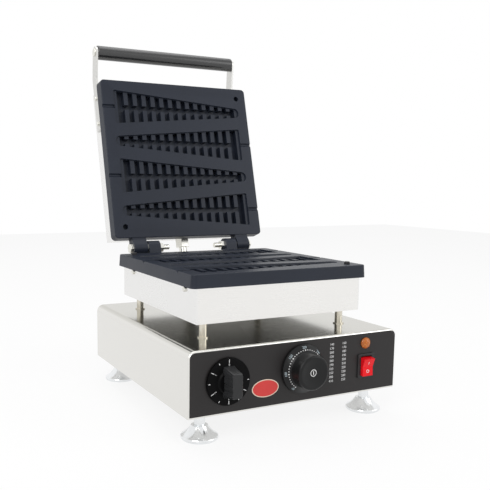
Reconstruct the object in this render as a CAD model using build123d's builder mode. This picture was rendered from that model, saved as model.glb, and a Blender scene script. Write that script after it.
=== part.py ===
from build123d import *
import math
import os

# Waffle stick maker for a counter top, in millimetres.
# X to the right, Y to the back, Z up. The lid stands open. The parts are exported with the origin on the counter
# under the middle of the whole part's box; up to there, Y is measured from the middle of the base.

# Base housing
base_width = 300
base_depth = 320
base_height = 78
base_sheet = 1.2
side_bend = 10
front_bend = 2.5
base_flange = 14
cover_sheet = 1.5
cover_gap = 0.4
cover_screw_r = 2.0
cover_screw_inset = 7
vent_count = 7
vent_length = 44
vent_width = 3.5
vent_pitch = 11

# Feet
foot_height = 34
foot_inset_x = 28
foot_inset_y = 26
foot_rim_r = 22.5
foot_rim_height = 4.5
foot_neck_r = 10
foot_neck_height = 16.5
foot_collar_r = 6.75
foot_stud_r = 5
foot_stud_length = 16
foot_nut_across = 16
foot_nut_height = 6

# Spacer posts between the base and the lower box
post_inset = 18
post_height = 20
post_r = 5
post_collar_r = 7
post_collar_height = 1.5
post_stud_r = 3
post_stud_length = 9
post_nut_across = 10
post_nut_height = 5

# Boxes under and over the mould plates
box_size = 240
box_height = 43.5
box_sheet = 1.2
side_sheet = 1.5
box_flange = 10
side_screw_y = (82, -88)
side_screw_drop = 5.1
screw_r = 1.95
screw_head_r = 3.5
screw_head_height = 2.2
screw_length = 11
boss_width = 12
boss_length = 14
boss_height = 10

# Mould plates
plate_width = 256
plate_depth = 250
plate_thickness = 16.5
plate_corner = 7
plate_draft = 4
plate_rim = 1.2
plate_gap = 0.4
stick_count = 4
stick_pitch = 54.4
wide_end_x = 107.7
wide_half = 26.5
wide_corner = 2.5
tip_end_x = 111
tip_r = 8
tooth_depth = 2.5
mould_depth = 12
wall_draft = 15
spine_width = 7.4
tooth_count = 13
tooth_pitch = 15
tooth_width = 7
first_tooth_x = 91
comb_step = 0.3
wide_ledge = 5.7
tip_ledge = 7
groove_r = 2.8
pin_x = 109.3
pin_y = 106.8
pin_r = 3.8
pin_height = 3.5
pin_root = 8
pin_play = 0.4

# Hinges
hinge_behind = 14
hinge_above = 6
lid_open_angle = 105
lug_r = 10.5
inner_lug_x = 57
inner_lug_width = 19
outer_lug_x = 78
outer_lug_width = 22
lug_below = 0.5
lug_stand_off = 1.5
bolt_r = 4
bolt_play = 0.05
bolt_end_x = 40
bolt_head_across = 13
bolt_head_height = 4
bolt_nut_height = 6.5
washer_r = 8
running_gap = 0.3

# Handle on the lid
bracket_sheet = 3
bracket_width = 17
bracket_drop = 38
bracket_front = 140
bracket_rear = 55
handle_screw_y = (-106.7, -66)
grip_r = 10.75
grip_ahead = 177.5
grip_drop = 24.5
bracket_end_r = 9
cap_screw_r = 3
cap_head_r = 6
cap_head_height = 1.8
cap_screw_depth = 18

# Heating elements and insulation
element_r = 3.25
element_pitch = 44
element_half = 84
element_runs = 4
element_tail = 16
slab_gap = 1.5
slab_height = 16
seat_gap = 0.3
bulb_r = 3
bulb_length = 80
bulb_x = 30

# Conduit from the lid to the base
gland_across = 20
gland_height = 15
gland_nut_height = 4
ferrule_r = 6.5
ferrule_length = 10
gland_thread_r = 7
gland_bore_r = 4.6
conduit_r = 4.5
conduit_end_run = 11
conduit_bend = 24
base_gland_inset = 19
mains_gland_inset = 50
mains_gland_z = 26
mains_gland_r = 10
mains_thread_r = 8
mains_bore_r = 4.5
mains_gland_length = 22

# Control panel on the front
overlay_inset = 2
overlay_sheet = 0.8
overlay_corner = 7
timer_inset = 50
timer_z = 39
timer_body = 44
timer_body_depth = 34
thermostat_x = 3
thermostat_z = 42
thermostat_body_width = 44
thermostat_body_height = 36
thermostat_body_depth = 30
bush_r = 4.8
bush_hole_r = 5
spindle_r = 3
spindle_play = 0.05
knob_gap = 0.5
dial_r = 28
dial_height = 3
dial_hub_r = 21
dial_hub_top_r = 14
dial_hub_height = 13
dial_bar_width = 12
dial_bar_length = 41
dial_bar_height = 26
skirt_r = 30
skirt_rim = 3
skirt_height = 9.5
cap_r = 19.5
cap_height = 28
cap_dish = 1.2
cap_dish_r = 15
spindle_in_knob = 12
lamp_inset = 51
lamp_z = 63.8
lamp_r = 7
lamp_rim = 1.5
lamp_dome = 5
lamp_body_r = 5.5
lamp_hole_r = 5.8
lamp_body_length = 24
switch_inset = 49.7
switch_z = 34.6
switch_width = 25.5
switch_height = 31
switch_flange = 2
switch_corner = 2
switch_body_width = 21.5
switch_body_height = 27.5
switch_body_depth = 21
switch_hole_gap = 0.3
rocker_width = 16
rocker_height = 23
rocker_proud = 5.5
rocker_middle = 3.2
rocker_depth = 5
rocker_pivot = 3
rocker_angle = 18
rocker_play = 0.6
rocker_pin_r = 1.5
rocker_pin_length = 1.5
terminal_length = 60
terminal_width = 18
terminal_height = 16
terminal_poles = 5

# Levels and places worked out from the sizes above
base_bottom = foot_height
base_top = base_bottom + base_height
box_bottom = base_top + post_height
box_top = box_bottom + box_height
mating_z = box_top + plate_thickness
hinge_y = plate_depth / 2 + hinge_behind
hinge_z = mating_z + hinge_above
box_back = -plate_thickness - box_height
box_middle = -plate_thickness - box_height / 2
side_x = box_size / 2 - side_sheet
slab_size = 2 * (side_x - box_flange - slab_gap)
timer_x = timer_inset - base_width / 2
lamp_x = base_width / 2 - lamp_inset
switch_x = base_width / 2 - switch_inset
mains_gland_x = base_width / 2 - mains_gland_inset
base_gland_y = base_depth / 2 - base_gland_inset

front_plane = Plane(origin=(0, -base_depth / 2, base_bottom), x_dir=(1, 0, 0), z_dir=(0, -1, 0))
panel_plane = front_plane.offset(overlay_sheet)
inside_plane = front_plane.offset(-base_sheet)

# The faces that meet when the lid is shut: each looks out of its own plate, and its x axis runs to the right.
# The hinge is on the +y side of the lower face and on the -y side of the upper one.
lower_face = Plane(origin=(0, 0, mating_z), x_dir=(1, 0, 0), z_dir=(0, 0, 1))
lower_rear = 1
open_rad = math.radians(lid_open_angle)
hinge_plane = Plane(
    origin=(0, hinge_y, hinge_z),
    x_dir=(1, 0, 0),
    z_dir=(0, -math.sin(open_rad), -math.cos(open_rad)),
)
upper_origin = hinge_plane.from_local_coords((0, hinge_y, hinge_above - plate_gap))
upper_face = Plane(origin=upper_origin, x_dir=(1, 0, 0), z_dir=hinge_plane.z_dir)
upper_rear = -1

pieces = {}


def keep(name, piece):
    """Remember a finished piece under the name of its file."""
    pieces[name] = piece


def local_plane(face, place, direction):
    """A plane at a place given in a face's own coordinates, looking along one of its own directions."""
    origin = face.from_local_coords(place)
    outward = face.from_local_coords(direction) - face.origin
    return Plane(origin=origin, x_dir=(1, 0, 0), z_dir=outward)


def side_plane(face, x):
    """A plane across the object at x, with its x axis along the face's y and its y axis along the face's z."""
    return Plane(origin=face.from_local_coords((x, 0, 0)), x_dir=face.y_dir, z_dir=(1, 0, 0))


def dome_middle(r, low, high):
    """The point halfway along an arc from (r, low) to (0, high) whose centre is on the axis."""
    rise = high - low
    centre = high - (r * r + rise * rise) / (2 * rise)
    start = math.atan2(low - centre, r)
    end = math.copysign(math.pi / 2, rise)
    reach = abs(high - centre)
    middle = (start + end) / 2
    return (reach * math.cos(middle), centre + reach * math.sin(middle))


def corners(x, y):
    """Four places, one in each quarter."""
    return [(-x, -y), (x, -y), (-x, y), (x, y)]


# Base housing: one folded sheet with a front and a back wall, open below
post_places = corners(box_size / 2 - post_inset, box_size / 2 - post_inset)
foot_places = corners(base_width / 2 - foot_inset_x, base_depth / 2 - foot_inset_y)
inner_width = base_width - 2 * base_sheet
inner_depth = base_depth - 2 * base_sheet
cover_screw_places = corners(inner_width / 2 - cover_screw_inset, inner_depth / 4)
with BuildPart() as base_housing:
    with BuildSketch(front_plane):
        with Locations((0, base_height / 2)):
            Rectangle(base_width, base_height)
        fillet(vertices().group_by(Axis.Y)[-1], side_bend)
    extrude(amount=-base_depth)
    end_faces = base_housing.faces().filter_by(Axis.Y)
    fillet(end_faces.edges().filter_by(lambda edge: edge.center().Z > base_bottom + 1), front_bend)
    offset(amount=-base_sheet, openings=base_housing.faces().sort_by(Axis.Z)[0])
    with BuildSketch(Plane.XY.offset(base_bottom + cover_sheet)):
        Rectangle(inner_width, inner_depth)
        Rectangle(inner_width - 2 * base_flange, inner_depth - 2 * base_flange, mode=Mode.SUBTRACT)
    extrude(amount=base_sheet)
    with BuildSketch(Plane.XY.offset(base_bottom)):
        with Locations(*cover_screw_places):
            Circle(cover_screw_r)
    extrude(amount=cover_sheet + base_sheet, mode=Mode.SUBTRACT)
    with BuildSketch(Plane.XY.offset(base_top)):
        with Locations(*post_places):
            Circle(post_stud_r)
        with Locations((0, base_gland_y)):
            Circle(gland_thread_r)
    extrude(amount=-base_sheet, mode=Mode.SUBTRACT)
    with BuildSketch(front_plane):
        with Locations((timer_x, timer_z), (thermostat_x, thermostat_z)):
            Circle(bush_hole_r)
        with Locations((lamp_x, lamp_z)):
            Circle(lamp_hole_r)
        with Locations((switch_x, switch_z)):
            Rectangle(switch_body_width + switch_hole_gap, switch_body_height + switch_hole_gap)
    extrude(amount=-base_sheet, mode=Mode.SUBTRACT)
    with BuildSketch(front_plane.offset(-base_depth)):
        with Locations((mains_gland_x, mains_gland_z)):
            Circle(mains_thread_r)
    extrude(amount=base_sheet, mode=Mode.SUBTRACT)
keep("base_housing", base_housing)

# Bottom cover with vent slots, screwed up against the flange inside the housing
with BuildPart() as bottom_cover:
    with BuildSketch(Plane.XY.offset(base_bottom)):
        Rectangle(inner_width - 2 * cover_gap, inner_depth - 2 * cover_gap)
        with Locations(*foot_places):
            Circle(foot_stud_r, mode=Mode.SUBTRACT)
        with Locations(*cover_screw_places):
            Circle(cover_screw_r, mode=Mode.SUBTRACT)
        with Locations((-vent_length, 0), (vent_length, 0)):
            with GridLocations(0, vent_pitch, 1, vent_count):
                SlotOverall(vent_length, vent_width, mode=Mode.SUBTRACT)
    extrude(amount=cover_sheet)
keep("bottom_cover", bottom_cover)

with BuildPart() as cover_screws:
    with BuildSketch(Plane.XY.offset(base_bottom)):
        with Locations(*cover_screw_places):
            Circle(screw_head_r)
    extrude(amount=-screw_head_height)
    fillet(cover_screws.faces().group_by(Axis.Z)[0].edges(), screw_head_height / 3)
    with BuildSketch(Plane.XY.offset(base_bottom)):
        with Locations(*cover_screw_places):
            Circle(screw_r)
    extrude(amount=cover_sheet + base_sheet + screw_r)
keep("cover_screws", cover_screws)


def foot(place):
    """A polished foot: a flared bell, a neck and a threaded stud that goes up through the cover."""
    x, y = place
    with BuildPart() as bell:
        with BuildSketch(Plane(origin=(x, y, 0), x_dir=(1, 0, 0), z_dir=(0, -1, 0))):
            with BuildLine():
                flare = Line((0, 0), (foot_rim_r - 1.5, 0))
                rim = ThreePointArc(
                    flare @ 1,
                    (foot_rim_r, foot_rim_height / 2),
                    (foot_rim_r - 0.5, foot_rim_height),
                )
                waist = ThreePointArc(
                    rim @ 1,
                    (foot_neck_r + 4, foot_neck_height * 0.66),
                    (foot_neck_r, foot_neck_height),
                )
                Polyline(
                    waist @ 1,
                    (foot_collar_r, foot_neck_height),
                    (foot_collar_r, foot_height),
                    (foot_stud_r, foot_height),
                    (foot_stud_r, foot_height + foot_stud_length),
                    (0, foot_height + foot_stud_length),
                    (0, 0),
                )
            make_face()
        revolve(axis=Axis((x, y, 0), (0, 0, 1)))
    return bell


foot_names = ("foot_front_left", "foot_front_right", "foot_rear_left", "foot_rear_right")
for foot_name, foot_place in zip(foot_names, foot_places):
    keep(foot_name, foot(foot_place))

with BuildPart() as foot_nuts:
    with BuildSketch(Plane.XY.offset(base_bottom + cover_sheet)):
        with Locations(*foot_places):
            RegularPolygon(foot_nut_across / 2, 6, major_radius=False)
            Circle(foot_stud_r, mode=Mode.SUBTRACT)
    extrude(amount=foot_nut_height)
keep("foot_nuts", foot_nuts)

# Spacer posts with their collars, and the nuts on both ends of their studs
with BuildPart() as support_posts:
    with BuildSketch(Plane.XY.offset(base_top)):
        with Locations(*post_places):
            Circle(post_collar_r)
    extrude(amount=post_collar_height)
    with BuildSketch(Plane.XY.offset(base_top)):
        with Locations(*post_places):
            Circle(post_r)
    extrude(amount=post_height)
    with BuildSketch(Plane.XY.offset(base_top - post_stud_length)):
        with Locations(*post_places):
            Circle(post_stud_r)
    extrude(amount=post_height + 2 * post_stud_length)
keep("support_posts", support_posts)

with BuildPart() as post_nuts:
    for nut_bottom in (base_top - base_sheet - post_nut_height, box_bottom + box_sheet):
        with BuildSketch(Plane.XY.offset(nut_bottom)):
            with Locations(*post_places):
                RegularPolygon(post_nut_across / 2, 6, major_radius=False)
                Circle(post_stud_r, mode=Mode.SUBTRACT)
        extrude(amount=post_nut_height)
keep("post_nuts", post_nuts)


# Boxes: a folded wrap of front, floor and back, and a flanged sheet on each side
def box_wrap(face, hole_places, gland_side):
    """The wrap of one box, with stud holes in its floor, or a gland hole in the wall by the hinge."""
    wrap_width = box_size - 2 * side_sheet
    with BuildPart() as wrap:
        with BuildSketch(face.offset(box_back)):
            Rectangle(wrap_width, box_size)
        extrude(amount=box_height)
        with BuildSketch(face.offset(box_back + box_sheet)):
            Rectangle(wrap_width, box_size - 2 * box_sheet)
        extrude(amount=box_height, mode=Mode.SUBTRACT)
        if hole_places:
            with BuildSketch(face.offset(box_back)):
                with Locations(*hole_places):
                    Circle(post_stud_r)
            extrude(amount=box_sheet, mode=Mode.SUBTRACT)
        if gland_side:
            wall = local_plane(face, (0, gland_side * box_size / 2, box_middle), (0, gland_side, 0))
            with BuildSketch(wall):
                Circle(gland_thread_r)
            extrude(amount=-box_sheet, mode=Mode.SUBTRACT)
    return wrap


def box_side(face, hand, rear, screw_places):
    """One side sheet of a box, with a flange that lies on the floor of the wrap inside."""
    outer = hand * box_size / 2
    inner = hand * side_x
    with BuildPart() as side:
        with BuildSketch(side_plane(face, outer)):
            with Locations((0, box_middle)):
                Rectangle(box_size, box_height)
            with Locations(*[(rear * y, z) for y, z in screw_places]):
                Circle(screw_r, mode=Mode.SUBTRACT)
        extrude(amount=-hand * side_sheet)
        with BuildSketch(face.offset(box_back + box_sheet)):
            with Locations((inner - hand * box_flange / 2, 0)):
                Rectangle(box_flange, box_size - 2 * box_sheet - 2 * cover_gap)
        extrude(amount=box_sheet)
    return side


plate_screw_z = -plate_thickness - side_screw_drop
plate_screws = [(y, plate_screw_z) for y in side_screw_y]
bracket_screws = [(y, -bracket_drop) for y in handle_screw_y]
side_names = ((-1, "left"), (1, "right"))
keep("lower_box", box_wrap(lower_face, post_places, 0))
keep("upper_box", box_wrap(upper_face, [], upper_rear))
for hand, hand_name in side_names:
    keep("lower_box_side_" + hand_name, box_side(lower_face, hand, lower_rear, plate_screws))
    keep(
        "upper_box_side_" + hand_name,
        box_side(upper_face, hand, upper_rear, plate_screws + bracket_screws),
    )


# Mould plates: the castings with the ribbed moulds, which meet when the lid is shut
def mould_outline(inset):
    """The outline of one mould, a long tapering hull with its wide end at -x, drawn in by the inset."""
    with BuildSketch() as outline:
        with Locations(
            (wide_corner - wide_end_x, wide_half - wide_corner),
            (wide_corner - wide_end_x, wide_corner - wide_half),
        ):
            Circle(wide_corner - inset)
        with Locations((tip_end_x - tip_r, 0)):
            Circle(tip_r - inset)
        make_hull()
    return outline.sketch


def mould_comb(inset):
    """The deep part of one mould: a spine with a gap between each two teeth on both its sides."""
    comb_start = wide_ledge - wide_end_x
    comb_end = tip_end_x - tip_ledge
    gap_ends = [comb_start]
    for k in range(tooth_count):
        tooth = k * tooth_pitch - first_tooth_x
        gap_ends += [tooth, tooth + tooth_width]
    gap_ends.append(comb_end)
    with BuildSketch() as comb:
        with Locations(((comb_start + comb_end) / 2, 0)):
            Rectangle(comb_end - comb_start, spine_width)
        for left, right in zip(gap_ends[::2], gap_ends[1::2]):
            with Locations(((left + right) / 2, 0)):
                Rectangle(right - left, 2 * wide_half)
        add(mould_outline(inset), mode=Mode.INTERSECT)
    return comb.sketch


def row_places(rear):
    """Where each mould lies on its face, counted from the front, and the turn that sets its wide end."""
    places = []
    for k in range(stick_count):
        y = rear * (k - (stick_count - 1) / 2) * stick_pitch
        places.append((y, 180 * (k % 2)))
    return places


def mould_plate(face, rear, lug_inner, lug_width, pin_hole_r):
    """One casting, with its moulds, stick grooves, pin holes, screw bosses and hinge lugs."""
    comb_inset = tooth_depth * math.tan(math.radians(wall_draft)) + comb_step
    hinge_y_here = rear * hinge_y
    hinge_z_here = hinge_above if rear > 0 else plate_gap - hinge_above
    lug_bottom = 1 - plate_thickness
    edge_y = rear * plate_depth / 2
    with BuildPart(face) as plate:
        with BuildSketch(face.offset(-plate_thickness)):
            RectangleRounded(plate_width, plate_depth, plate_corner)
        extrude(amount=plate_thickness, taper=plate_draft)
        fillet(plate.faces().sort_by(Axis(face.origin, face.z_dir))[-1].edges(), plate_rim)
        for hand in (-1, 1):
            near = edge_y + rear * lug_stand_off
            with BuildSketch(side_plane(face, hand * lug_inner)):
                with Locations((hinge_y_here, hinge_z_here)):
                    Circle(lug_r)
                with Locations((near + rear, (lug_bottom - lug_below) / 2)):
                    Rectangle(2, -lug_bottom - lug_below)
                make_hull()
                with Locations((edge_y, (lug_bottom - lug_below) / 2)):
                    Rectangle(4 * lug_stand_off, -lug_bottom - lug_below)
            extrude(amount=hand * lug_width)
            with BuildSketch(side_plane(face, hand * lug_inner)):
                with Locations((hinge_y_here, hinge_z_here)):
                    Circle(bolt_r + bolt_play)
            extrude(amount=hand * lug_width, mode=Mode.SUBTRACT)
        for y in side_screw_y:
            for hand in (-1, 1):
                with BuildSketch(face.offset(-plate_thickness)):
                    with Locations((hand * (side_x - boss_width / 2), rear * y)):
                        Rectangle(boss_width, boss_length)
                extrude(amount=-boss_height)
                with BuildSketch(side_plane(face, hand * side_x)):
                    with Locations((rear * y, plate_screw_z)):
                        Circle(screw_r)
                extrude(amount=-hand * screw_length, mode=Mode.SUBTRACT)
        with BuildSketch(face):
            for y, turn in row_places(rear):
                with Locations(Location((0, y, 0), (0, 0, turn))):
                    add(mould_outline(0))
        extrude(amount=-tooth_depth, taper=wall_draft, mode=Mode.SUBTRACT)
        with BuildSketch(face.offset(-tooth_depth)):
            for y, turn in row_places(rear):
                with Locations(Location((0, y, 0), (0, 0, turn))):
                    add(mould_comb(comb_inset))
        extrude(amount=tooth_depth - mould_depth, mode=Mode.SUBTRACT)
        for y, turn in row_places(rear):
            wide_side = -1 if turn == 0 else 1
            groove_length = plate_width / 2 - wide_end_x + 2
            groove_x = wide_side * (plate_width / 2 + 2 - groove_length / 2)
            with Locations(Location((groove_x, y, 0), (0, 90, 0))):
                Cylinder(groove_r, groove_length, mode=Mode.SUBTRACT)
        with BuildSketch(face):
            with Locations((pin_x, -rear * pin_y), (-pin_x, rear * pin_y)):
                Circle(pin_hole_r)
        extrude(amount=-pin_root, mode=Mode.SUBTRACT)
    return plate


lower_lug = (inner_lug_x, inner_lug_width)
upper_lug = (outer_lug_x, outer_lug_width)
keep("lower_mould_plate", mould_plate(lower_face, lower_rear, *lower_lug, pin_r))
keep("upper_mould_plate", mould_plate(upper_face, upper_rear, *upper_lug, pin_r + pin_play))

# Pins that guide the upper plate onto the lower one
with BuildPart() as locating_pins:
    with BuildSketch(lower_face.offset(-pin_root)):
        with Locations((pin_x, -pin_y), (-pin_x, pin_y)):
            Circle(pin_r)
    extrude(amount=pin_root + pin_height)
    chamfer(locating_pins.faces().group_by(Axis.Z)[-1].edges(), pin_r / 4)
keep("locating_pins", locating_pins)


# Hinge bolts with their nuts and washers
bolt_head_x = outer_lug_x + outer_lug_width + running_gap
washer_x = inner_lug_x + inner_lug_width
washer_height = outer_lug_x - washer_x - running_gap


def across(x, hand):
    """A plane across the hinge line at x on one side, looking away from the middle."""
    return Plane(origin=(hand * x, hinge_y, hinge_z), x_dir=(0, hand, 0), z_dir=(hand, 0, 0))


with BuildPart() as hinge_bolts:
    for hand in (-1, 1):
        with BuildSketch(across(bolt_end_x, hand)):
            Circle(bolt_r)
        extrude(amount=bolt_head_x - bolt_end_x)
        with BuildSketch(across(bolt_head_x, hand)):
            RegularPolygon(bolt_head_across / 2, 6, major_radius=False)
        extrude(amount=bolt_head_height)
keep("hinge_bolts", hinge_bolts)

with BuildPart() as hinge_nuts:
    for hand in (-1, 1):
        with BuildSketch(across(inner_lug_x - bolt_nut_height, hand)):
            RegularPolygon(bolt_head_across / 2, 6, major_radius=False)
            Circle(bolt_r, mode=Mode.SUBTRACT)
        extrude(amount=bolt_nut_height)
keep("hinge_nuts", hinge_nuts)

with BuildPart() as hinge_washers:
    for hand in (-1, 1):
        with BuildSketch(across(washer_x, hand)):
            Circle(washer_r)
            Circle(bolt_r, mode=Mode.SUBTRACT)
        extrude(amount=washer_height)
keep("hinge_washers", hinge_washers)


# Screws through the side sheets into the bosses under a plate
def side_screws(face, rear, screw_places, outer_x, length, head_r, head_height, shank_r):
    """Screws on both sides of a box, their heads on the outside at outer_x."""
    with BuildPart() as screws:
        for hand in (-1, 1):
            places = [(rear * y, z) for y, z in screw_places]
            with BuildSketch(side_plane(face, hand * outer_x)):
                with Locations(*places):
                    Circle(head_r)
            extrude(amount=hand * head_height)
            with BuildSketch(side_plane(face, hand * outer_x)):
                with Locations(*places):
                    Circle(shank_r)
            extrude(amount=-hand * length)
        outer_faces = screws.faces().filter_by(Axis.X).group_by(SortBy.AREA)[-1]
        fillet(outer_faces.edges(), head_height / 3)
    return screws


pan_head = (screw_head_r, screw_head_height, screw_r)
box_edge = box_size / 2
keep("lower_box_screws", side_screws(lower_face, lower_rear, plate_screws, box_edge, screw_length, *pan_head))
keep("upper_box_screws", side_screws(upper_face, upper_rear, plate_screws, box_edge, screw_length, *pan_head))

# Handle: two flat brackets on the sides of the lid and a round grip between them
bracket_x = box_size / 2
bracket_face_x = bracket_x + bracket_sheet
grip_place = (upper_rear * -grip_ahead, -grip_drop)


def handle_bracket(hand):
    """A flat bracket along one side of the lid, bent down to the grip in its own plane."""
    with BuildPart() as bracket:
        with BuildSketch(side_plane(upper_face, hand * bracket_x)):
            with Locations(grip_place):
                Circle(bracket_end_r)
            with Locations((bracket_front, -bracket_drop)):
                Circle(bracket_width / 2)
            make_hull()
            with Locations(((bracket_front + bracket_rear) / 2, -bracket_drop)):
                Rectangle(bracket_front - bracket_rear, bracket_width)
            with Locations(grip_place):
                Circle(cap_screw_r, mode=Mode.SUBTRACT)
            with Locations(*[(upper_rear * y, z) for y, z in bracket_screws]):
                Circle(screw_r, mode=Mode.SUBTRACT)
        extrude(amount=hand * bracket_sheet)
    return bracket


for hand, hand_name in side_names:
    keep("handle_bracket_" + hand_name, handle_bracket(hand))

with BuildPart() as handle_grip:
    with BuildSketch(side_plane(upper_face, -bracket_x)):
        with Locations(grip_place):
            Circle(grip_r)
    extrude(amount=2 * bracket_x)
    fillet(handle_grip.faces().filter_by(Axis.X).edges(), 2)
    for hand in (-1, 1):
        with BuildSketch(side_plane(upper_face, hand * bracket_x)):
            with Locations(grip_place):
                Circle(cap_screw_r)
        extrude(amount=-hand * cap_screw_depth, mode=Mode.SUBTRACT)
keep("handle_grip", handle_grip)

grip_screw_place = [(-grip_ahead, -grip_drop)]
cap_head = (cap_head_r, cap_head_height, cap_screw_r)
cap_length = bracket_sheet + cap_screw_depth - 1
keep(
    "grip_screws",
    side_screws(upper_face, upper_rear, grip_screw_place, bracket_face_x, cap_length, *cap_head),
)
keep(
    "bracket_screws",
    side_screws(upper_face, upper_rear, bracket_screws, bracket_face_x, screw_length, *pan_head),
)


# Heating element pressed against the back of a mould plate, and the slab of insulation in the box
def heating_element(face, rear):
    """One bent tube that runs to and fro under the plate, its two ends turned away from it."""
    z = -plate_thickness - element_r
    tail = z - element_tail
    route = []
    for k in range(element_runs):
        x = (k - (element_runs - 1) / 2) * element_pitch
        ends = [(x, element_half, z), (x, -element_half, z)]
        route += ends if k % 2 == 0 else ends[::-1]
    first, last = route[0], route[-1]
    route = [(first[0], first[1], tail)] + route + [(last[0], last[1], tail)]
    with BuildPart() as element:
        with BuildLine(face) as centre_line:
            FilletPolyline(*route, radius=3 * element_r)
        with BuildSketch(Plane(origin=centre_line.line @ 0, z_dir=centre_line.line % 0)):
            Circle(element_r)
        sweep(path=centre_line.line)
    return element


def insulation_slab(face):
    """A slab of fibre that lies on the floor of a box, with holes for the tails of the element."""
    with BuildPart() as slab:
        with BuildSketch(face.offset(box_back + box_sheet + seat_gap)):
            RectangleRounded(slab_size, slab_size, plate_corner)
            with Locations(*post_places):
                Circle(post_nut_across, mode=Mode.SUBTRACT)
        extrude(amount=slab_height)
    return slab


for stack_name, face, rear in (("lower", lower_face, lower_rear), ("upper", upper_face, upper_rear)):
    keep(stack_name + "_heater", heating_element(face, rear))
    keep(stack_name + "_insulation", insulation_slab(face))

with BuildPart() as thermostat_bulb:
    bulb_z = mating_z - plate_thickness - bulb_r
    with BuildSketch(Plane(origin=(0, -bulb_length / 2, bulb_z), x_dir=(1, 0, 0), z_dir=(0, 1, 0))):
        Circle(bulb_r)
    extrude(amount=bulb_length)
    fillet(thermostat_bulb.faces().filter_by(Axis.Y).edges(), bulb_r / 2)
keep("thermostat_bulb", thermostat_bulb)


# Glands and the conduit
def conduit_gland(wall, sheet):
    """A hexagon gland on a wall, with a round ferrule, a thread through the wall and a nut behind it."""
    with BuildPart() as gland:
        with BuildSketch(wall):
            RegularPolygon(gland_across / 2, 6, major_radius=False)
        extrude(amount=gland_height)
        with BuildSketch(wall.offset(gland_height)):
            Circle(ferrule_r)
        extrude(amount=ferrule_length)
        with BuildSketch(wall):
            Circle(gland_thread_r)
        extrude(amount=-sheet - gland_nut_height)
        with BuildSketch(wall.offset(-sheet)):
            RegularPolygon(gland_across / 2, 6, major_radius=False)
        extrude(amount=-gland_nut_height)
        with BuildSketch(wall.offset(-sheet - gland_nut_height)):
            Circle(gland_bore_r)
        extrude(amount=sheet + gland_nut_height + gland_height + ferrule_length, mode=Mode.SUBTRACT)
    return gland


lid_gland_plane = local_plane(upper_face, (0, upper_rear * box_size / 2, box_middle), (0, upper_rear, 0))
base_gland_plane = Plane.XY.offset(base_top).move(Location((0, base_gland_y, 0)))
keep("lid_gland", conduit_gland(lid_gland_plane, box_sheet))
keep("base_gland", conduit_gland(base_gland_plane, base_sheet))

gland_reach = gland_height + ferrule_length
lid_end = lid_gland_plane.origin + lid_gland_plane.z_dir * gland_height
base_end = base_gland_plane.origin + base_gland_plane.z_dir * gland_height
lid_turn = lid_end + lid_gland_plane.z_dir * (ferrule_length + conduit_end_run)
base_turn = base_end + base_gland_plane.z_dir * (ferrule_length + conduit_end_run)
with BuildPart() as conduit:
    with BuildLine() as conduit_line:
        FilletPolyline(lid_end, lid_turn, base_turn, base_end, radius=conduit_bend)
    with BuildSketch(Plane(origin=lid_end, x_dir=(1, 0, 0), z_dir=lid_gland_plane.z_dir)):
        Circle(conduit_r)
    sweep(path=conduit_line.line)
keep("conduit", conduit)

with BuildPart() as mains_gland:
    rear_wall = front_plane.offset(-base_depth)
    mains_origin = rear_wall.from_local_coords((mains_gland_x, mains_gland_z, 0))
    mains_plane = Plane(origin=mains_origin, x_dir=(-1, 0, 0), z_dir=(0, 1, 0))
    with BuildSketch(mains_plane):
        RegularPolygon(mains_gland_r, 6)
    extrude(amount=gland_nut_height)
    with BuildSketch(mains_plane.offset(gland_nut_height)):
        Circle(mains_thread_r + 1)
    extrude(amount=mains_gland_length - gland_nut_height, taper=6)
    with BuildSketch(mains_plane):
        Circle(mains_thread_r)
    extrude(amount=-base_sheet - gland_nut_height)
    with BuildSketch(mains_plane.offset(-base_sheet)):
        RegularPolygon(mains_gland_r, 6)
    extrude(amount=-gland_nut_height)
    with BuildSketch(mains_plane.offset(mains_gland_length)):
        Circle(mains_bore_r)
    extrude(amount=-mains_gland_length - base_sheet - gland_nut_height, mode=Mode.SUBTRACT)
keep("mains_gland", mains_gland)

with BuildPart() as terminal_block:
    with BuildSketch(Plane.XY.offset(base_bottom + cover_sheet)):
        with Locations((0, base_depth / 4)):
            Rectangle(terminal_length, terminal_width)
    extrude(amount=terminal_height)
    with BuildSketch(Plane.XY.offset(base_bottom + cover_sheet + terminal_height)):
        with Locations((0, base_depth / 4)):
            with GridLocations(terminal_length / terminal_poles, terminal_width / 2, terminal_poles, 2):
                Circle(2)
    extrude(amount=-terminal_height / 2, mode=Mode.SUBTRACT)
keep("terminal_block", terminal_block)

# Control panel: the printed overlay and what stands on it
with BuildPart() as control_overlay:
    with BuildSketch(front_plane):
        with Locations((0, base_height / 2)):
            Rectangle(base_width - 2 * overlay_inset, base_height - 2 * overlay_inset)
        fillet(vertices().group_by(Axis.Y)[-1], overlay_corner)
        with Locations((timer_x, timer_z), (thermostat_x, thermostat_z)):
            Circle(bush_hole_r, mode=Mode.SUBTRACT)
        with Locations((lamp_x, lamp_z)):
            Circle(lamp_hole_r, mode=Mode.SUBTRACT)
        with Locations((switch_x, switch_z)):
            Rectangle(
                switch_body_width + switch_hole_gap,
                switch_body_height + switch_hole_gap,
                mode=Mode.SUBTRACT,
            )
    extrude(amount=overlay_sheet)
keep("control_overlay", control_overlay)


def control_unit(x, z, width, height, depth):
    """A timer or thermostat: a case behind the wall and a bush that carries its spindle through the wall."""
    with BuildPart() as unit:
        with BuildSketch(inside_plane):
            with Locations((x, z)):
                RectangleRounded(width, height, 3)
        extrude(amount=-depth)
        with BuildSketch(inside_plane):
            with Locations((x, z)):
                Circle(bush_r)
        extrude(amount=base_sheet + overlay_sheet)
        with BuildSketch(panel_plane):
            with Locations((x, z)):
                Circle(spindle_r + spindle_play)
        extrude(amount=-base_sheet - overlay_sheet - depth / 2, mode=Mode.SUBTRACT)
    return unit


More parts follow.
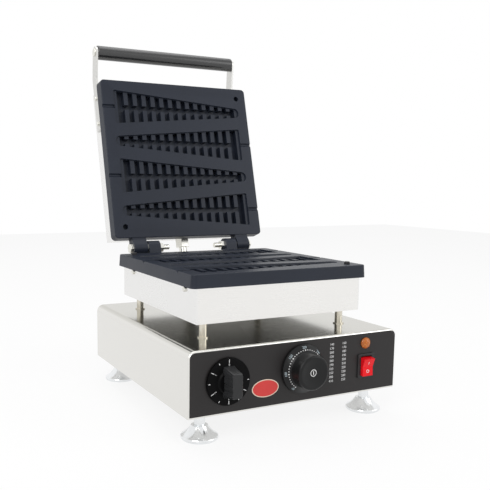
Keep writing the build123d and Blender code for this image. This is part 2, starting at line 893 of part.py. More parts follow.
def spindle(x, z, depth):
    """The shaft that a knob turns, from inside its unit to inside the knob."""
    with BuildPart() as shaft:
        with BuildSketch(panel_plane.offset(knob_gap + spindle_in_knob)):
            with Locations((x, z)):
                Circle(spindle_r)
        extrude(amount=-knob_gap - spindle_in_knob - base_sheet - overlay_sheet - depth / 2 + 1)
    return shaft


keep("timer_unit", control_unit(timer_x, timer_z, timer_body, timer_body, timer_body_depth))
keep("timer_spindle", spindle(timer_x, timer_z, timer_body_depth))
thermostat_case = (thermostat_body_width, thermostat_body_height, thermostat_body_depth)
keep("thermostat_unit", control_unit(thermostat_x, thermostat_z, *thermostat_case))
keep("thermostat_spindle", spindle(thermostat_x, thermostat_z, thermostat_body_depth))


def knob_planes(x, z):
    """A knob's back face, looking out, and the plane through its axis for a turned profile."""
    back = Plane(origin=panel_plane.from_local_coords((x, z, knob_gap)), x_dir=(1, 0, 0), z_dir=(0, -1, 0))
    section = Plane(origin=back.origin, x_dir=(1, 0, 0), z_dir=(0, 0, -1))
    return back, section


timer_back, timer_section = knob_planes(timer_x, timer_z)
with BuildPart() as timer_knob:
    with BuildSketch(timer_section):
        with BuildLine():
            Polyline(
                (0, 0),
                (dial_r, 0),
                (dial_r, dial_height - 1),
                (dial_r - 1, dial_height),
                (dial_hub_r, dial_height),
            )
            ThreePointArc(
                (dial_hub_r, dial_height),
                ((dial_hub_r + dial_hub_top_r) / 2, dial_hub_height * 0.68),
                (dial_hub_top_r, dial_hub_height),
            )
            Polyline((dial_hub_top_r, dial_hub_height), (0, dial_hub_height), (0, 0))
        make_face()
    revolve(axis=Axis(timer_back.origin, timer_back.z_dir))
    with BuildSketch(timer_back.offset(dial_height)):
        RectangleRounded(dial_bar_width, dial_bar_length, dial_bar_width / 4)
    extrude(amount=dial_bar_height - dial_height, taper=2)
    fillet(timer_knob.faces().sort_by(Axis.Y)[0].edges(), 1.2)
    with BuildSketch(timer_back):
        Circle(spindle_r)
    extrude(amount=spindle_in_knob, mode=Mode.SUBTRACT)
keep("timer_knob", timer_knob)

thermostat_back, thermostat_section = knob_planes(thermostat_x, thermostat_z)
with BuildPart() as thermostat_knob:
    with BuildSketch(thermostat_section):
        with BuildLine():
            Polyline(
                (0, 0),
                (skirt_r, 0),
                (skirt_r, skirt_rim),
                (cap_r + 1, skirt_height),
                (cap_r, skirt_height),
                (cap_r - 0.6, cap_height - 1.5),
                (cap_r - 2, cap_height),
                (cap_dish_r, cap_height),
            )
            ThreePointArc(
                (cap_dish_r, cap_height),
                dome_middle(cap_dish_r, cap_height, cap_height - cap_dish),
                (0, cap_height - cap_dish),
            )
            Line((0, cap_height - cap_dish), (0, 0))
        make_face()
    revolve(axis=Axis(thermostat_back.origin, thermostat_back.z_dir))
    with BuildSketch(thermostat_back):
        Circle(spindle_r)
    extrude(amount=spindle_in_knob, mode=Mode.SUBTRACT)
keep("thermostat_knob", thermostat_knob)

# Indicator lamp: a domed lens in front and the lamp body behind the wall
lamp_plane = Plane(origin=panel_plane.from_local_coords((lamp_x, lamp_z, 0)), x_dir=(1, 0, 0), z_dir=(0, -1, 0))
with BuildPart() as indicator_lens:
    with BuildSketch(Plane(origin=lamp_plane.origin, x_dir=(1, 0, 0), z_dir=(0, 0, -1))):
        with BuildLine():
            Polyline((0, 0), (lamp_r, 0), (lamp_r, lamp_rim))
            ThreePointArc((lamp_r, lamp_rim), dome_middle(lamp_r, lamp_rim, lamp_dome), (0, lamp_dome))
            Line((0, lamp_dome), (0, 0))
        make_face()
    revolve(axis=Axis(lamp_plane.origin, lamp_plane.z_dir))
keep("indicator_lens", indicator_lens)

with BuildPart() as indicator_body:
    with BuildSketch(lamp_plane):
        Circle(lamp_body_r)
    extrude(amount=-lamp_body_length)
    with BuildSketch(lamp_plane.offset(-base_sheet - overlay_sheet)):
        Circle(lamp_r)
    extrude(amount=-lamp_rim)
keep("indicator_body", indicator_body)

# Rocker switch: the housing clips into the wall, the rocker turns on two pins in it
switch_origin = panel_plane.from_local_coords((switch_x, switch_z, 0))
switch_plane = Plane(origin=switch_origin, x_dir=(1, 0, 0), z_dir=(0, -1, 0))
pivot_origin = switch_plane.from_local_coords((0, 0, switch_flange - rocker_pivot))
rocker_tilt = math.radians(rocker_angle / 2)
rocker_out = (0, -math.cos(rocker_tilt), -math.sin(rocker_tilt))
rocker_plane = Plane(origin=pivot_origin, x_dir=rocker_out, z_dir=(-1, 0, 0))
pin_plane = Plane(origin=pivot_origin, x_dir=(0, 1, 0), z_dir=(1, 0, 0))
well_width = rocker_width + 2 * rocker_play
with BuildPart() as switch_housing:
    with BuildSketch(switch_plane):
        RectangleRounded(switch_width, switch_height, switch_corner)
    extrude(amount=switch_flange)
    fillet(switch_housing.faces().sort_by(Axis.Y)[0].edges(), 0.6)
    with BuildSketch(switch_plane):
        Rectangle(switch_body_width, switch_body_height)
    extrude(amount=-switch_body_depth)
    with BuildSketch(switch_plane.offset(switch_flange)):
        Rectangle(well_width, rocker_height + 4 * rocker_play)
    extrude(amount=-switch_flange - rocker_pivot - rocker_depth - 3, mode=Mode.SUBTRACT)
    with BuildSketch(pin_plane):
        Circle(rocker_pin_r + spindle_play)
    extrude(amount=rocker_width / 2 + rocker_play + rocker_pin_length, both=True, mode=Mode.SUBTRACT)
keep("switch_housing", switch_housing)

with BuildPart() as switch_rocker:
    with BuildSketch(rocker_plane):
        with BuildLine():
            Polyline(
                (-rocker_depth, -rocker_height / 4),
                (-rocker_pivot, -rocker_height / 2 + 0.8),
                (rocker_pivot + rocker_proud, -rocker_height / 2),
                (rocker_pivot + rocker_middle, 0),
                (rocker_pivot + rocker_proud, rocker_height / 2),
                (-rocker_pivot, rocker_height / 2 - 0.8),
                (-rocker_depth, rocker_height / 4),
                close=True,
            )
        make_face()
    extrude(amount=rocker_width / 2, both=True)
    with BuildSketch(pin_plane):
        Circle(rocker_pin_r)
    extrude(amount=rocker_width / 2 + rocker_pin_length, both=True)
keep("switch_rocker", switch_rocker)

# The kept origin is on the counter, under the middle of the whole part's box, with the lid open
boxes = [piece.part.bounding_box() for piece in pieces.values()]
middle_y = (min(box.min.Y for box in boxes) + max(box.max.Y for box in boxes)) / 2
os.makedirs("parts", exist_ok=True)
for name, piece in pieces.items():
    placed = piece.part.moved(Location((0, -middle_y, 0)))
    placed.label = name
    export_step(placed, "parts/" + name + ".step")
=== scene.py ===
"""Waffle stick maker: finishes, knobs, printing, conduit, studio and camera, in metres in the part's frame."""

import math

import bmesh
import bpy
from mathutils import Matrix, Vector


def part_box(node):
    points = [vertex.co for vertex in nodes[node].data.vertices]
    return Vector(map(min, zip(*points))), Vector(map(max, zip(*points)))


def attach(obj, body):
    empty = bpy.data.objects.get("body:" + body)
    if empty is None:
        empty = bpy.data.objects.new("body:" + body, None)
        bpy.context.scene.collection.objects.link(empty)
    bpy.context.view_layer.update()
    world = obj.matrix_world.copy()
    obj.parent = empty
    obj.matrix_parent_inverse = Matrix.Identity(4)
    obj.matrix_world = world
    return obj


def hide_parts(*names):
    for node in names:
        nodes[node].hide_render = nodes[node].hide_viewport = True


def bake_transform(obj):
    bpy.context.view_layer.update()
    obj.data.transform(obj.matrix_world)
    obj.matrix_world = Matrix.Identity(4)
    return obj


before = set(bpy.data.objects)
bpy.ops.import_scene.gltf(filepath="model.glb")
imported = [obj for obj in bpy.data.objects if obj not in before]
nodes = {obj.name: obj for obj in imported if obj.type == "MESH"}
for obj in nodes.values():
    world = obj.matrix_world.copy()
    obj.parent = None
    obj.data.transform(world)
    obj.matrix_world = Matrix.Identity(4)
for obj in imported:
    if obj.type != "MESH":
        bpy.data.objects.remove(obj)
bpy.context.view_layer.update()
scene = bpy.context.scene

MM = 0.001


def node_box(name):
    """Lowest and highest corner of a solid, as vectors."""
    low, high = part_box(name)
    return Vector(low), Vector(high)


def node_centre(name):
    low, high = node_box(name)
    return (low + high) / 2


# Places read from the frame
OVERLAY_MARGIN = 2 * MM
overlay_low, _ = node_box("control_overlay")
panel_y = overlay_low.y
panel_bottom = overlay_low.z - OVERLAY_MARGIN
timer_centre = node_centre("timer_knob")
thermostat_centre = node_centre("thermostat_knob")
switch_centre = node_centre("switch_housing")
base_middle = Vector((0, node_centre("base_housing").y, 0))


# Shader maths; the Mix node's colour sockets go by number, because several of its sockets share a name
MIX_FIRST = 6
MIX_SECOND = 7
MIX_RESULT = 2


class Value:
    """A socket of one material that takes part in plain arithmetic."""

    def __init__(self, maker, socket):
        self.maker = maker
        self.socket = socket

    def _math(self, operation, *others):
        return self.maker.node("ShaderNodeMath", {"operation": operation}, [self, *others]).out()

    def __add__(self, other):
        return self._math("ADD", other)

    __radd__ = __add__

    def __sub__(self, other):
        return self._math("SUBTRACT", other)

    def __rsub__(self, other):
        return self.maker.node("ShaderNodeMath", {"operation": "SUBTRACT"}, [other, self]).out()

    def __mul__(self, other):
        return self._math("MULTIPLY", other)

    __rmul__ = __mul__

    def power(self, other):
        return self._math("POWER", other)

    def clamped(self):
        return self.maker.node("ShaderNodeClamp", {}, [self]).out()


class Made:
    """A new node, with its outputs at hand as values."""

    def __init__(self, maker, item):
        self.maker = maker
        self.item = item

    def out(self, name=0):
        return Value(self.maker, self.item.outputs[name])


class Maker:
    """Adds nodes to one tree."""

    def __init__(self, tree):
        self.tree = tree

    def node(self, kind, settings=None, inputs=()):
        """Adds a node of any kind: its settings first, a ramp's stops among them, then its sockets."""
        item = self.tree.nodes.new(kind)
        for key, value in (settings or {}).items():
            if key == "stops":
                self._stops(item.color_ramp, value)
            else:
                setattr(item, key, value)
        pairs = inputs.items() if isinstance(inputs, dict) else enumerate(inputs)
        for key, value in pairs:
            if isinstance(value, Value):
                self.tree.links.new(value.socket, item.inputs[key])
            else:
                item.inputs[key].default_value = value
        return Made(self, item)

    @staticmethod
    def _stops(ramp, stops):
        while len(ramp.elements) < len(stops):
            ramp.elements.new(0.5)
        for element, (position, colour) in zip(ramp.elements, stops):
            element.position = position
            element.color = (*colour, 1)

    def seen_directly(self):
        """One for what the camera, a reflection or a clear pane sees, and nought for soft light."""
        ray = self.node("ShaderNodeLightPath")
        return (ray.out("Is Camera Ray") + ray.out("Is Glossy Ray") + ray.out("Is Transmission Ray")).clamped()


class Finish(Maker):
    """One material, with its main shader."""

    def __init__(self, name, colour, roughness, metallic=0.0, **constants):
        self.material = bpy.data.materials.new(name)
        self.material.use_nodes = True
        super().__init__(self.material.node_tree)
        self.shader = self.tree.nodes["Principled BSDF"]
        self.set("Base Color", (*colour, 1))
        self.set("Roughness", roughness)
        self.set("Metallic", metallic)
        for key, value in constants.items():
            self.set(key.replace("_", " ").title().replace("Ior", "IOR"), value)

    def set(self, socket, value):
        target = self.shader.inputs[socket]
        if isinstance(value, Value):
            self.tree.links.new(value.socket, target)
        else:
            target.default_value = value

    def place(self, scale=(1, 1, 1)):
        """The object's own coordinates, stretched."""
        coordinates = self.node("ShaderNodeTexCoord").out("Object")
        return self.node("ShaderNodeMapping", {}, {"Vector": coordinates, "Scale": scale}).out()

    def noise(self, scale, detail=3.0, stretch=(1, 1, 1), roughness=0.5):
        inputs = {
            "Vector": self.place(stretch),
            "Scale": scale,
            "Detail": detail,
            "Roughness": roughness,
        }
        return self.node("ShaderNodeTexNoise", {}, inputs).out("Fac")

    def ramp(self, value, *stops):
        return self.node("ShaderNodeValToRGB", {"stops": stops}, [value]).out("Color")

    def spread(self, value, low, high, to_low, to_high):
        inputs = [value, low, high, to_low, to_high]
        return self.node("ShaderNodeMapRange", {}, inputs).out()

    def mix(self, factor, first, second):
        """A colour between two colours, by a factor."""
        inputs = {0: factor, MIX_FIRST: self._colour(first), MIX_SECOND: self._colour(second)}
        return self.node("ShaderNodeMix", {"data_type": "RGBA"}, inputs).out(MIX_RESULT)

    @staticmethod
    def _colour(value):
        return value if isinstance(value, Value) else (*value, 1)

    def bump(self, height, strength, distance):
        inputs = {"Strength": strength, "Distance": distance, "Height": height}
        self.set("Normal", self.node("ShaderNodeBump", {}, inputs).out())
        return self

    def pointiness(self):
        return self.node("ShaderNodeNewGeometry").out("Pointiness")


# Finishes
def brushed_sheet(name, colour, roughness, along):
    """Stainless sheet with a fine grain along one axis, and faint smears from wiping."""
    finish = Finish(name, colour, roughness, metallic=1.0)
    stretch = [90, 90, 90]
    stretch["xyz".index(along)] = 1.5
    lines = finish.noise(14, detail=4, stretch=stretch)
    smears = finish.noise(9, detail=4, roughness=0.6)
    finish.set("Roughness", roughness + (lines - 0.5) * 0.03 + (smears - 0.5) * 0.06)
    shade = finish.spread(lines * 0.6 + smears * 0.4, 0.3, 0.7, 0.90, 1.0)
    pale = tuple(min(1.0, part * 1.02) for part in colour)
    finish.set("Base Color", finish.mix(shade.power(6), tuple(part * 0.975 for part in colour), pale))
    return finish.bump(lines, 0.02, 0.00002)


def dulled(finish, side, colour):
    """Paints shade on the side of a sheet that looks up (1) or down (-1): a darker colour mixed in by how the
    surface faces, standing in for shade.
    """
    turned = finish.node("ShaderNodeTexCoord").out("Normal")
    height = finish.node("ShaderNodeSeparateXYZ", {}, [turned]).out("Z") * side
    share = finish.spread(height, 0.6, 0.95, 0.0, 1.0)
    unshaded = Value(finish, finish.shader.inputs["Base Color"].links[0].from_socket)
    # painted shade: the darker colour replaces the sheet's own colour on faces turned this way
    finish.set("Base Color", finish.mix(share, unshaded, colour))
    return finish


def cast_coat(name, colour, roughness):
    """Cast aluminium under a thin non-stick coat: a fine pebble, and a painted highlight that makes the edges
    lighter.
    """
    finish = Finish(name, colour, roughness, metallic=0.0, specular_ior_level=0.28)
    pebble = finish.noise(1500, detail=2)
    cloud = finish.noise(18, detail=5, roughness=0.6)
    # Painted highlight: convex edges, picked out by pointiness, get this paler colour, standing in for the
    # light they catch.
    pale = tuple(part * 1.35 + 0.004 for part in colour)
    edge = finish.spread(finish.pointiness(), 0.52, 0.60, 0.0, 0.6)
    lighter = tuple(part * 1.16 for part in colour)
    body = finish.mix(finish.spread(cloud, 0.35, 0.65, 0.0, 1.0), colour, lighter)
    finish.set("Base Color", finish.mix(edge, body, pale))
    finish.set("Roughness", roughness + (cloud - 0.5) * 0.14 + (pebble - 0.5) * 0.08)
    return finish.bump(pebble, 0.22, 0.00012)


def plated(name, colour, roughness):
    """Bright plating with faint waviness and a little dulling."""
    finish = Finish(name, colour, roughness, metallic=1.0)
    film = finish.noise(60, detail=3)
    finish.set("Roughness", roughness + (film - 0.5) * 0.08)
    tint = tuple(part * 0.9 for part in colour)
    finish.set("Base Color", finish.mix(finish.spread(film, 0.3, 0.7, 0, 1), tint, colour))
    return finish.bump(film, 0.05, 0.0001)


def threaded(name, colour, roughness, pitch):
    """Plated steel with fine rings across X where a thread is."""
    finish = Finish(name, colour, roughness, metallic=1.0)
    film = finish.noise(80, detail=2)
    inputs = {"Vector": finish.place(), "Scale": math.pi / (20 * pitch)}
    rings = finish.node("ShaderNodeTexWave", {"bands_direction": "X"}, inputs).out("Fac")
    finish.set("Roughness", roughness + (film - 0.5) * 0.1)
    return finish.bump(rings, 0.6, 0.0003)


def moulded(name, colour, roughness, shine=0.35):
    """Moulded plastic with a very fine spark-eroded grain."""
    finish = Finish(name, colour, roughness, specular_ior_level=shine)
    grains = finish.noise(2600, detail=2)
    cloud = finish.noise(30, detail=3)
    finish.set("Roughness", roughness + (cloud - 0.5) * 0.1 + (grains - 0.5) * 0.05)
    pale = tuple(min(1.0, part * 1.25 + 0.002) for part in colour)
    finish.set("Base Color", finish.mix(finish.spread(cloud, 0.35, 0.65, 0, 0.5), colour, pale))
    return finish.bump(grains, 0.15, 0.00004)


def lens_finish():
    """Orange lens plastic with facets inside, drawn as lighter and darker cells: painted glints standing in
    for the light the facets catch.
    """
    finish = Finish("indicator orange", (0.55, 0.17, 0.02), 0.14, specular_ior_level=0.45)
    cells = finish.node(
        "ShaderNodeTexVoronoi", {"feature": "F1"}, {"Vector": finish.place(), "Scale": 420}
    ).out("Distance")
    painted_facet_glints = finish.spread(cells, 0.1, 0.7, 0.0, 1.0)
    finish.set("Base Color", finish.mix(painted_facet_glints, (0.58, 0.19, 0.028), (0.38, 0.09, 0.008)))
    return finish


def heated_steel():
    """Element tube, straw and blue from heat."""
    finish = Finish("element steel", (0.4, 0.37, 0.34), 0.42, metallic=1.0)
    heat = finish.noise(35, detail=3)
    straw, blue = (0.42, 0.34, 0.22), (0.30, 0.28, 0.30)
    finish.set("Base Color", finish.ramp(heat, (0.3, straw), (0.6, blue)))
    finish.set("Roughness", 0.38 + heat * 0.15)
    return finish.bump(heat, 0.1, 0.0002)


def fibre_finish():
    """Pressed mineral fibre, pale and matted."""
    finish = Finish("mineral fibre", (0.8, 0.78, 0.72), 0.95, sheen_weight=0.3)
    strands = finish.noise(420, detail=6, stretch=(1, 3, 1), roughness=0.7)
    finish.set("Base Color", finish.mix(strands, (0.70, 0.67, 0.60), (0.86, 0.84, 0.79)))
    return finish.bump(strands, 0.5, 0.0006)


def printed_finish():
    """Satin black printed sheet of the control panel."""
    finish = Finish("overlay black", (0.014, 0.012, 0.012), 0.42, specular_ior_level=0.34)
    grains = finish.noise(1900, detail=2)
    cloud = finish.noise(12, detail=3)
    finish.set("Base Color", finish.mix(cloud, (0.0125, 0.011, 0.011), (0.0165, 0.0145, 0.0145)))
    finish.set("Roughness", 0.38 + cloud * 0.08)
    return finish.bump(grains, 0.12, 0.00004)


def ink(name, colour, roughness=0.5):
    """Screen-printed ink, a little uneven in its cover."""
    finish = Finish(name, colour, roughness)
    cover = finish.noise(900, detail=2)
    finish.set("Base Color", finish.mix(cover, tuple(part * 0.86 for part in colour), colour))
    return finish


sheet_x = brushed_sheet("stainless grain across", (0.84, 0.83, 0.81), 0.27, "x")
sheet_y = brushed_sheet("stainless grain to the back", (0.83, 0.825, 0.815), 0.27, "y")
# Painted shade: the lower box's downward faces are near black, standing in for the shade under the box.
lower_box_painted_shade_sheet = dulled(
    brushed_sheet("stainless lower box", (0.84, 0.83, 0.81), 0.27, "x"), -1, (0.03, 0.029, 0.022)
)
# Painted shade: the base's stainless is darker than the other sheets, and its upward faces are darker still,
# standing in for the shade and dim reflections under the lower box.
base_painted_shade_sheet = dulled(
    brushed_sheet("stainless base", (0.76, 0.75, 0.72), 0.15, "x"), 1, (0.56, 0.55, 0.505)
)
casting = cast_coat("non-stick casting", (0.011, 0.0145, 0.024), 0.42)
chrome = plated("foot chrome", (0.86, 0.875, 0.885), 0.15)
nickel = plated("post nickel", (0.70, 0.66, 0.57), 0.20)
zinc = plated("bright zinc", (0.80, 0.79, 0.74), 0.22)
zinc_thread = threaded("bright zinc thread", (0.78, 0.77, 0.71), 0.25, 0.0013)
black_steel = moulded("blackened steel", (0.02, 0.02, 0.022), 0.35)
element = heated_steel()
fibre = fibre_finish()
hose_steel = plated("hose steel", (0.66, 0.645, 0.61), 0.32)
nylon = moulded("black nylon", (0.018, 0.018, 0.019), 0.45)
ceramic = moulded("white ceramic", (0.82, 0.80, 0.74), 0.6)
overlay_black = printed_finish()
unit_steel = plated("unit case steel", (0.62, 0.62, 0.60), 0.35)
knob_black = moulded("knob black", (0.0085, 0.0088, 0.0092), 0.32, shine=0.22)
# Painted light and shade: the timer's grip is a lighter copy of the knob's black and its dial a darker, duller
# copy, standing in for the light on the grip and the shade the dial reflects.
timer_grip_painted_light_black = moulded("timer grip black", (0.021, 0.0215, 0.0225), 0.33, shine=0.28)
dial_painted_shade_black = moulded("dial black", (0.0022, 0.0022, 0.0024), 0.42, shine=0.06)
grip_black = moulded("grip black", (0.010, 0.0105, 0.011), 0.24, shine=0.85)
lens_orange = lens_finish()
rocker_red = moulded("rocker red", (0.74, 0.006, 0.012), 0.26, shine=0.2)
bracket_steel = brushed_sheet("bracket steel", (0.66, 0.655, 0.635), 0.33, "z")
white_ink = ink("white ink", (0.80, 0.80, 0.80))
grey_ink = ink("grey blue ink", (0.46, 0.54, 0.58))
badge_red = ink("badge red", (0.66, 0.035, 0.03), 0.35)
badge_cream = ink("badge cream", (0.86, 0.70, 0.56), 0.4)

node_finishes = {
    "base_housing": base_painted_shade_sheet,
    "bottom_cover": sheet_x,
    "lower_box": lower_box_painted_shade_sheet,
    "upper_box": sheet_x,
    "lower_box_side_left": sheet_y,
    "lower_box_side_right": sheet_y,
    "upper_box_side_left": sheet_y,
    "upper_box_side_right": sheet_y,
    "lower_mould_plate": casting,
    "upper_mould_plate": casting,
    "foot_front_left": chrome,
    "foot_front_right": chrome,
    "foot_rear_left": chrome,
    "foot_rear_right": chrome,
    "foot_nuts": zinc,
    "support_posts": nickel,
    "post_nuts": zinc,
    "cover_screws": zinc,
    "lower_box_screws": zinc,
    "upper_box_screws": zinc,
    "bracket_screws": zinc,
    "hinge_bolts": zinc_thread,
    "hinge_nuts": zinc,
    "hinge_washers": zinc,
    "base_gland": zinc,
    "lid_gland": zinc,
    "locating_pins": black_steel,
    "grip_screws": zinc,
    "lower_heater": element,
    "upper_heater": element,
    "thermostat_bulb": element,
    "lower_insulation": fibre,
    "upper_insulation": fibre,
    "mains_gland": nylon,
    "terminal_block": ceramic,
    "control_overlay": overlay_black,
    "timer_unit": unit_steel,
    "thermostat_unit": unit_steel,
    "timer_spindle": unit_steel,
    "thermostat_spindle": unit_steel,
    "timer_knob": knob_black,
    "thermostat_knob": knob_black,
    "indicator_lens": lens_orange,
    "indicator_body": nylon,
    "switch_housing": nylon,
    "switch_rocker": rocker_red,
    "handle_bracket_left": bracket_steel,
    "handle_bracket_right": bracket_steel,
    "handle_grip": grip_black,
}
for name, finish in node_finishes.items():
    mesh = nodes[name].data
    mesh.materials.clear()
    mesh.materials.append(finish.material)


# Mesh helpers; the ink of numbers and that of marks stand this far from what they are printed on
INK = 0.08 * MM
PRINT = 0.06 * MM


def plain_piece(name, build, finish):
    """A new object from a function that fills an empty bmesh."""
    mesh = bpy.data.meshes.new(name)
    piece = bpy.data.objects.new(name, mesh)
    scene.collection.objects.link(piece)
    working = bmesh.new()
    build(working)
    bmesh.ops.recalc_face_normals(working, faces=working.faces)
    working.to_mesh(mesh)
    working.free()
    mesh.materials.append(finish.material)
    return piece


def mesh_piece(name, build, finish, body):
    """A new piece of the object, which rides on a body if one is given."""
    piece = plain_piece(name, build, finish)
    if body:
        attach(piece, body)
    return piece


def slab(working, outline, place, thickness):
    """A thin prism over an outline of (x, y) points, set in space by a matrix; z is its thickness."""
    low = [working.verts.new(place @ Vector((x, y, 0))) for x, y in outline]
    high = [working.verts.new(place @ Vector((x, y, thickness))) for x, y in outline]
    working.faces.new(low[::-1])
    working.faces.new(high)
    count = len(outline)
    for k in range(count):
        working.faces.new((low[k], low[(k + 1) % count], high[(k + 1) % count], high[k]))


def strip(length, width):
    """The outline of a short printed line along y."""
    x, y = width / 2, length / 2
    return [(-x, -y), (x, -y), (x, y), (-x, y)]


def disc(radius, count=24, squash=1.0):
    """The outline of a dot, a ring's edge or an oval."""
    turns = [2 * math.pi * k / count for k in range(count)]
    return [(radius * math.cos(turn), radius * squash * math.sin(turn)) for turn in turns]


def ring_slab(working, outer_radius, inner_radius, place, thickness, count):
    """A thin flat ring."""
    outer, inner = disc(outer_radius, count), disc(inner_radius, count)
    for k in range(count):
        nxt = (k + 1) % count
        slab(working, [outer[k], outer[nxt], inner[nxt], inner[k]], place, thickness)


def facing_front(x, y, z, turn=0.0):
    """A place on something that faces the front: x to the right, y up, z towards the viewer."""
    stand = Matrix(((1, 0, 0), (0, 0, -1), (0, 1, 0))).to_4x4()
    return Matrix.Translation((x, y, z)) @ stand @ Matrix.Rotation(turn, 4, "Z")


def curve_mesh(name, curve):
    """The mesh that a curve or a text stands for."""
    helper = bpy.data.objects.new(name, curve)
    scene.collection.objects.link(helper)
    bpy.context.view_layer.update()
    evaluated = helper.evaluated_get(bpy.context.evaluated_depsgraph_get())
    mesh = bpy.data.meshes.new_from_object(evaluated)
    bpy.data.objects.remove(helper)
    return mesh


def lettering(name, words, height, place, finish, body):
    """Plain numbers as a thin mesh, centred on their place."""
    curve = bpy.data.curves.new(name, "FONT")
    curve.body = words
    curve.size = height
    curve.align_x = "CENTER"
    curve.align_y = "CENTER"
    curve.resolution_u = 3
    curve.extrude = INK / 2
    mesh = curve_mesh(name + " curve", curve)
    mesh.transform(place @ Matrix.Translation((0, 0, INK / 2)))
    mesh.name = name
    mesh.materials.clear()
    mesh.materials.append(finish.material)
    piece = bpy.data.objects.new(name, mesh)
    scene.collection.objects.link(piece)
    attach(piece, body)
    return piece


def turned_surface(working, profile, place, count=96):
    """A closed body turned about a place's z, from (radius, height) points in millimetres."""

    def vertex(x, y, z):
        return working.verts.new(place @ (Vector((x, y, z)) * MM))

    steps = [2 * math.pi * k / count for k in range(count)]
    low = vertex(0, 0, profile[0][1])
    high = vertex(0, 0, profile[-1][1])
    rings = [[vertex(r * math.cos(t), r * math.sin(t), z) for t in steps] for r, z in profile[1:-1]]
    for k in range(count):
        nxt = (k + 1) % count
        working.faces.new((low, rings[0][nxt], rings[0][k]))
        working.faces.new((high, rings[-1][k], rings[-1][nxt]))
        for first, second in zip(rings, rings[1:]):
            working.faces.new((first[k], first[nxt], second[nxt], second[k]))


def soften(piece, crease=32):
    """Shades a piece smoothly, with its edges kept crisp."""
    working = bmesh.new()
    working.from_mesh(piece.data)
    for face in working.faces:
        face.smooth = True
    for edge in working.edges:
        sharp = len(edge.link_faces) == 2 and edge.calc_face_angle() > math.radians(crease)
        edge.smooth = not sharp
    working.to_mesh(piece.data)
    working.free()


# Timer knob: a round dial, and a grip that stands on it with ribs on both its flanks.
# Heights are over the knob's back, in millimetres.
KNOB_GAP = 0.5
DIAL_RADIUS = 28
DIAL_HEIGHT = 3
DIAL_PROFILE = (
    (0, 0),
    (27.2, 0),
    (DIAL_RADIUS, 0.6),
    (DIAL_RADIUS, 2.2),
    (27.7, 2.75),
    (27, DIAL_HEIGHT),
    (14.5, DIAL_HEIGHT),
    (13.6, 3.6),
    (12.6, 5.2),
    (0, 5.4),
)
GRIP_RIBS = 4
# Height, half of the width and half of the length
GRIP_LEVELS = (
    (2.6, 7.9, 18.6),
    (7.0, 7.2, 17.4),
    (22.4, 6.6, 14.6),
    (23.3, 6.3, 14.2),
    (23.8, 5.6, 13.4),
)


def knob_place(centre, height=0.0, turn=0.0):
    """A place on a knob's axis, at a height over its back."""
    return facing_front(centre.x, panel_y - (KNOB_GAP + height) * MM, centre.z, turn)


def timer_dial(working):
    turned_surface(working, DIAL_PROFILE, knob_place(timer_centre))


def grip_outline(half_width, half_length, groove=0.7, corner=2.2, ramp=0.8):
    """Half the outline is a flank with grooves between its ribs; the other half is its mirror."""
    cut = corner * 0.3
    start = -half_length + corner
    length = 2 * (half_length - corner) / GRIP_RIBS
    flank = [(half_width - corner, -half_length), (half_width - cut, -half_length + cut)]
    for k in range(GRIP_RIBS):
        low = start + k * length
        flank += [
            (half_width - groove, low + 0.01),
            (half_width, low + ramp),
            (half_width, low + length - ramp),
        ]
    flank += [
        (half_width - groove, -start),
        (half_width - cut, half_length - cut),
        (half_width - corner, half_length),
    ]
    return flank + [(-x, -y) for x, y in flank]


def timer_grip(working):
    place = knob_place(timer_centre)
    rings = []
    for z, half_width, half_length in GRIP_LEVELS:
        outline = grip_outline(half_width, half_length)
        rings.append([working.verts.new(place @ (Vector((x, y, z)) * MM)) for x, y in outline])
    for low, high in zip(rings, rings[1:]):
        for n in range(len(low)):
            nxt = (n + 1) % len(low)
            working.faces.new((low[n], low[nxt], high[nxt], high[n]))
    working.faces.new(rings[0][::-1])
    working.faces.new(rings[-1])


dial_piece = mesh_piece("timer_dial", timer_dial, dial_painted_shade_black, "timer")
grip_piece = mesh_piece("timer_grip", timer_grip, timer_grip_painted_light_black, "timer")
soften(dial_piece)
soften(grip_piece, 20)
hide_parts("timer_knob")


# Thermostat knob: a sloping skirt and a round cap with a dished face
SKIRT_RIM_RADIUS = 30
SKIRT_RIM_HEIGHT = 3
SKIRT_TOP_RADIUS = 20.5
SKIRT_TOP_HEIGHT = 9.5
CAP_FACE = 22.3
CAP_PROFILE = (
    (0, 0),
    (29.4, 0),
    (SKIRT_RIM_RADIUS, 0.5),
    (SKIRT_RIM_RADIUS, SKIRT_RIM_HEIGHT),
    (22.0, 8.47),
    (21.8, 8.9),
    (21.4, 21.4),
    (21.15, 22.7),
    (20.5, 23.7),
    (19.5, 24.3),
    (18.2, 24.5),
    (17.0, 24.3),
    (14.0, 23.6),
    (10.5, 22.95),
    (6.5, 22.5),
    (3.0, 22.32),
    (0, CAP_FACE),
)


def thermostat_cap(working):
    turned_surface(working, CAP_PROFILE, knob_place(thermostat_centre))


cap_piece = mesh_piece("thermostat_cap", thermostat_cap, knob_black, "thermostat")
soften(cap_piece)
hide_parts("thermostat_knob")


# Timer dial: a long line at each whole minute and a short one between, running anticlockwise from the top
TIMER_MINUTES = 5
TIMER_STEP = math.radians(30)
MARK_WIDTH = 0.75 * MM
MARK_MARGIN = 1.6
WHOLE_MARK = 4.2
HALF_MARK = 2.2
TIMER_NUMBER_RADIUS = DIAL_RADIUS - 8
TIMER_TEXT = 3.6 * MM


def timer_marks(working):
    for k in range(2 * TIMER_MINUTES):
        length = HALF_MARK if k % 2 else WHOLE_MARK
        radius = DIAL_RADIUS - MARK_MARGIN - length / 2
        place = knob_place(timer_centre, DIAL_HEIGHT, k * TIMER_STEP)
        place = place @ Matrix.Translation((0, radius * MM, 0))
        slab(working, strip(length * MM, MARK_WIDTH), place, PRINT)


